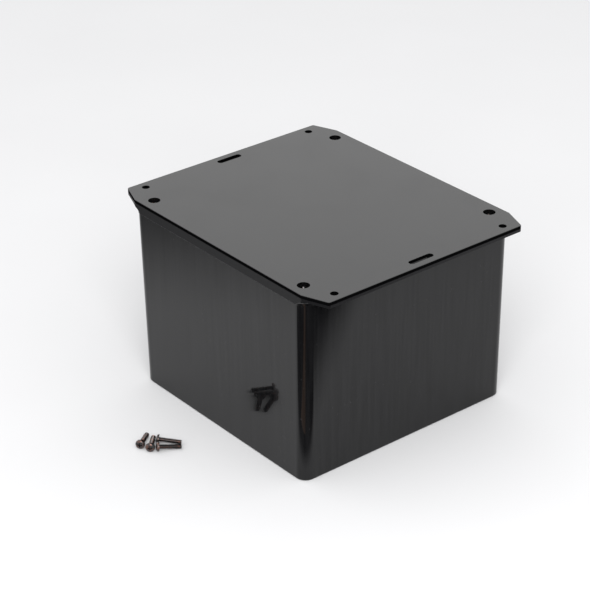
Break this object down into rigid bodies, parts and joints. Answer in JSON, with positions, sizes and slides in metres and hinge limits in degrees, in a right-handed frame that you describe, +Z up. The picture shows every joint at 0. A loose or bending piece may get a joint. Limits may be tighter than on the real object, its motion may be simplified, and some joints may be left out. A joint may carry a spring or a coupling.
{
  "type": "battery box",
  "caption": "Deep rectangular plastic battery box with a gasketed screw-down lid, drilled and slotted end ears, and loose mounting screws.",
  "frame": {"origin": "middle of the tub's flat underside", "axes": "+Z up through the lid, X along the length over both ears, -Y towards the front face that the loose screws lie by"},
  "size_m": [0.271, 0.2972, 0.175],
  "materials": {
    "tub_abs": "moulded, glossy",
    "lid_abs": "moulded, semi-gloss",
    "gasket_rubber": "matt sponge",
    "mat_rubber": "matt, fine ribbed",
    "washer_rubber": "matt",
    "insert_brass": "turned, knurled",
    "screw_steel": "black oxide, oiled"
  },
  "bodies": {
    "root": {"tub": "tub_abs", "lid_gasket": "gasket_rubber", "battery_mat": "mat_rubber", "threaded_insert_1": "insert_brass", "threaded_insert_2": "insert_brass", "threaded_insert_3": "insert_brass", "threaded_insert_4": "insert_brass", "mounting_screw_1": "screw_steel", "mounting_screw_2": "screw_steel", "mounting_screw_3": "screw_steel", "mounting_screw_4": "screw_steel"},
    "lid_body": {"lid": "lid_abs"},
    "washer_body_1": {"lid_screw_washer_1": "washer_rubber"},
    "screw_body_1": {"lid_screw_1": "screw_steel"},
    "washer_body_2": {"lid_screw_washer_2": "washer_rubber"},
    "screw_body_2": {"lid_screw_2": "screw_steel"},
    "washer_body_3": {"lid_screw_washer_3": "washer_rubber"},
    "screw_body_3": {"lid_screw_3": "screw_steel"},
    "washer_body_4": {"lid_screw_washer_4": "washer_rubber"},
    "screw_body_4": {"lid_screw_4": "screw_steel"}
  },
  "joints": [
    {"name": "lid_lift", "type": "slide", "parent": "root", "child": "lid_body", "axis": [0, 0, 1], "range_m": [0, 0.2]},
    {"name": "lid_screw_1_back_out", "type": "slide", "parent": "lid_body", "child": "washer_body_1", "axis": [0, 0, 1], "range_m": [0, 0.01667]},
    {"name": "lid_screw_1_turn", "type": "hinge", "parent": "washer_body_1", "child": "screw_body_1", "pos_m": [-0.1003, -0.0998, 0.1698], "axis": [0, 0, 1], "range_deg": [0, 7560]},
    {"name": "lid_screw_2_back_out", "type": "slide", "parent": "lid_body", "child": "washer_body_2", "axis": [0, 0, 1], "range_m": [0, 0.01667]},
    {"name": "lid_screw_2_turn", "type": "hinge", "parent": "washer_body_2", "child": "screw_body_2", "pos_m": [0.1003, -0.0998, 0.1698], "axis": [0, 0, 1], "range_deg": [0, 7560]},
    {"name": "lid_screw_3_back_out", "type": "slide", "parent": "lid_body", "child": "washer_body_3", "axis": [0, 0, 1], "range_m": [0, 0.01667]},
    {"name": "lid_screw_3_turn", "type": "hinge", "parent": "washer_body_3", "child": "screw_body_3", "pos_m": [0.1003, 0.0998, 0.1698], "axis": [0, 0, 1], "range_deg": [0, 7560]},
    {"name": "lid_screw_4_back_out", "type": "slide", "parent": "lid_body", "child": "washer_body_4", "axis": [0, 0, 1], "range_m": [0, 0.01667]},
    {"name": "lid_screw_4_turn", "type": "hinge", "parent": "washer_body_4", "child": "screw_body_4", "pos_m": [-0.1003, 0.0998, 0.1698], "axis": [0, 0, 1], "range_deg": [0, 7560]}
  ],
  "couplings": [
    {"joint": "lid_screw_1_turn", "follows": "lid_screw_1_back_out", "rad_per_m": 7915.8},
    {"joint": "lid_screw_2_turn", "follows": "lid_screw_2_back_out", "rad_per_m": 7915.8},
    {"joint": "lid_screw_3_turn", "follows": "lid_screw_3_back_out", "rad_per_m": 7915.8},
    {"joint": "lid_screw_4_turn", "follows": "lid_screw_4_back_out", "rad_per_m": 7915.8}
  ]
}
